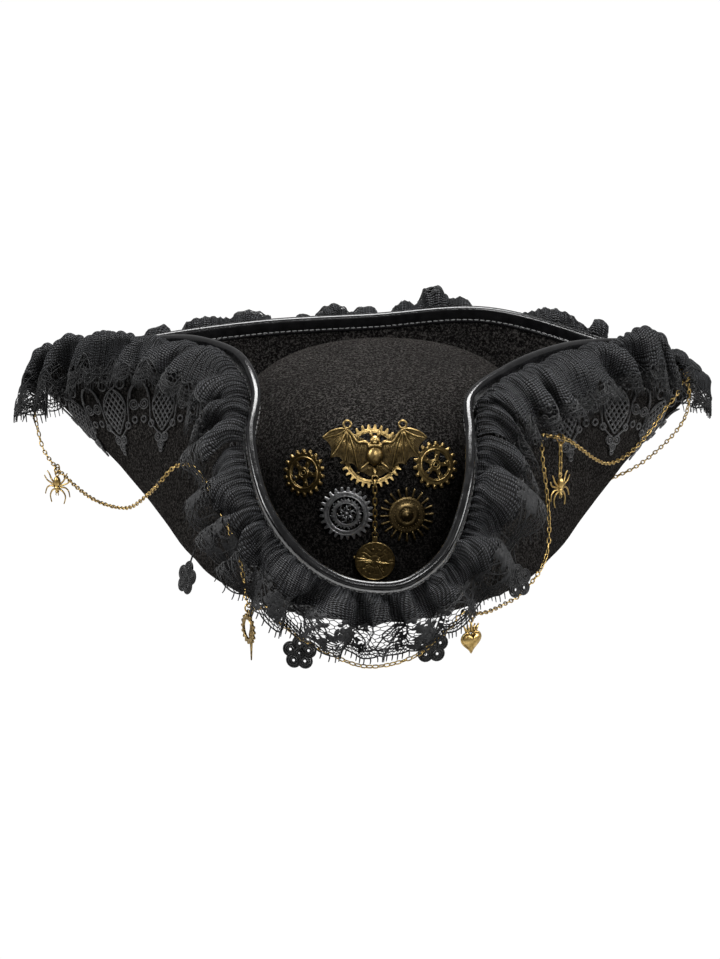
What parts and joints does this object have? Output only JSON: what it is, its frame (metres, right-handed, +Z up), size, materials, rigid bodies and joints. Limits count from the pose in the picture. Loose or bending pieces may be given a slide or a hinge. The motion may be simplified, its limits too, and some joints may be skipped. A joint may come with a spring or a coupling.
{
  "type": "tricorn hat",
  "caption": "Felt tricorn pirate hat with a turned-up brim, lace ruffle, guipure trim, draped chains and hanging charms.",
  "frame": {"origin": "centre of the oval head opening, in the plane of the head line where the crown meets the brim", "axes": "+Z up out of the crown's top, the front corner of the brim points along -Y, and +X is the wearer's left"},
  "size_m": [0.4209, 0.3638, 0.1478],
  "materials": {
    "felt": "matte wool felt",
    "binding": "glossy leatherette",
    "sweatband": "woven ribbon",
    "thread": "matte thread",
    "black_thread": "matte thread",
    "lace": "stretch knit lace",
    "guipure": "satin guipure cords",
    "antique_gold": "antique, dark in the hollows",
    "antique_silver": "antique, dark in the hollows"
  },
  "bodies": {
    "hat": {"felt_crown": "felt", "felt_brim": "felt", "sweatband": "sweatband", "sweatband_stitches": "thread", "edge_binding": "binding", "binding_stitches": "thread", "ruffle_front": "lace", "ruffle_left": "lace", "ruffle_back": "lace", "ruffle_right": "lace", "guipure_left": "guipure", "guipure_right": "guipure", "guipure_flowers": "guipure", "chain_left_tip": "antique_gold", "chain_left_front": "antique_gold", "chain_front": "antique_gold", "chain_right_front": "antique_gold", "chain_right_wing": "antique_gold", "chain_right_back": "antique_gold", "chain_tacks": "black_thread", "bat_gear": "antique_gold", "bat_pendant": "antique_gold", "left_gear": "antique_gold", "right_gear": "antique_gold", "silver_gear": "antique_silver", "silver_gear_star": "antique_silver", "sun_gear": "antique_gold", "ornament_stitches": "black_thread"},
    "pendant_ring": {"pendant_ring": "antique_gold"},
    "pendant_chain": {"pendant_chain": "antique_gold"},
    "medallion_ring": {"medallion_ring": "antique_gold"},
    "medallion": {"medallion": "antique_gold"},
    "left_spider_ring": {"left_spider_ring": "antique_gold"},
    "left_spider": {"left_spider": "antique_gold"},
    "right_spider_ring": {"right_spider_ring": "antique_gold"},
    "right_spider": {"right_spider": "antique_gold"},
    "heart_ring": {"heart_ring": "antique_gold"},
    "heart_charm": {"heart_charm": "antique_gold"},
    "clock_ring": {"clock_ring": "antique_gold"},
    "clock_gear_charm": {"clock_gear_charm": "antique_gold"},
    "clock_hand_charm": {"clock_hand_charm": "antique_gold"}
  },
  "joints": [
    {"name": "pendant_swing", "type": "hinge", "parent": "hat", "child": "pendant_ring", "pos_m": [0.0016, -0.1104, 0.0705], "axis": [1, 0, 0], "range_deg": [-60, 0]},
    {"name": "pendant_sway", "type": "hinge", "parent": "pendant_ring", "child": "pendant_chain", "pos_m": [0.0016, -0.1104, 0.0667], "axis": [0, 1, 0], "range_deg": [-30, 30]},
    {"name": "medallion_swing", "type": "hinge", "parent": "pendant_chain", "child": "medallion_ring", "pos_m": [0.0016, -0.1104, 0.04409], "axis": [1, 0, 0], "range_deg": [-45, 0]},
    {"name": "medallion_sway", "type": "hinge", "parent": "medallion_ring", "child": "medallion", "pos_m": [0.0016, -0.1104, 0.04097], "axis": [0, 1, 0], "range_deg": [-25, 25]},
    {"name": "left_spider_ring_swing", "type": "hinge", "parent": "hat", "child": "left_spider_ring", "pos_m": [-0.18439, 0.09227, 0.01608], "axis": [0.475, -0.88, 0], "range_deg": [-16, 16]},
    {"name": "left_spider_sway", "type": "hinge", "parent": "left_spider_ring", "child": "left_spider", "pos_m": [-0.18439, 0.09227, 0.01298], "axis": [0.4639, 0.8859, 0], "range_deg": [-16, 25]},
    {"name": "right_spider_ring_swing", "type": "hinge", "parent": "hat", "child": "right_spider_ring", "pos_m": [0.10337, -0.04946, 0.0767], "axis": [0.6266, 0.7794, 0], "range_deg": [-3, 2]},
    {"name": "right_spider_sway", "type": "hinge", "parent": "right_spider_ring", "child": "right_spider", "pos_m": [0.10337, -0.04946, 0.0736], "axis": [-0.7794, 0.6266, 0], "range_deg": [-3, 3]},
    {"name": "heart_ring_swing", "type": "hinge", "parent": "hat", "child": "heart_ring", "pos_m": [0.05258, -0.14878, 0.00902], "axis": [0.4513, 0.8924, 0], "range_deg": [-15, 15]},
    {"name": "heart_charm_sway", "type": "hinge", "parent": "heart_ring", "child": "heart_charm", "pos_m": [0.05258, -0.14878, 0.00592], "axis": [-0.5761, 0.8174, 0], "range_deg": [-20, 20]},
    {"name": "clock_ring_swing", "type": "hinge", "parent": "hat", "child": "clock_ring", "pos_m": [-0.065, -0.143, 0.011], "axis": [0.4458, -0.8951, 0], "range_deg": [-10, 15]},
    {"name": "clock_gear_charm_sway", "type": "hinge", "parent": "clock_ring", "child": "clock_gear_charm", "pos_m": [-0.065, -0.143, 0.0079], "axis": [0.8951, 0.4458, 0], "range_deg": [-15, 15]},
    {"name": "clock_hand_charm_sway", "type": "hinge", "parent": "clock_ring", "child": "clock_hand_charm", "pos_m": [-0.065, -0.143, 0.0079], "axis": [0.8951, 0.4458, 0], "range_deg": [-15, 15]}
  ]
}
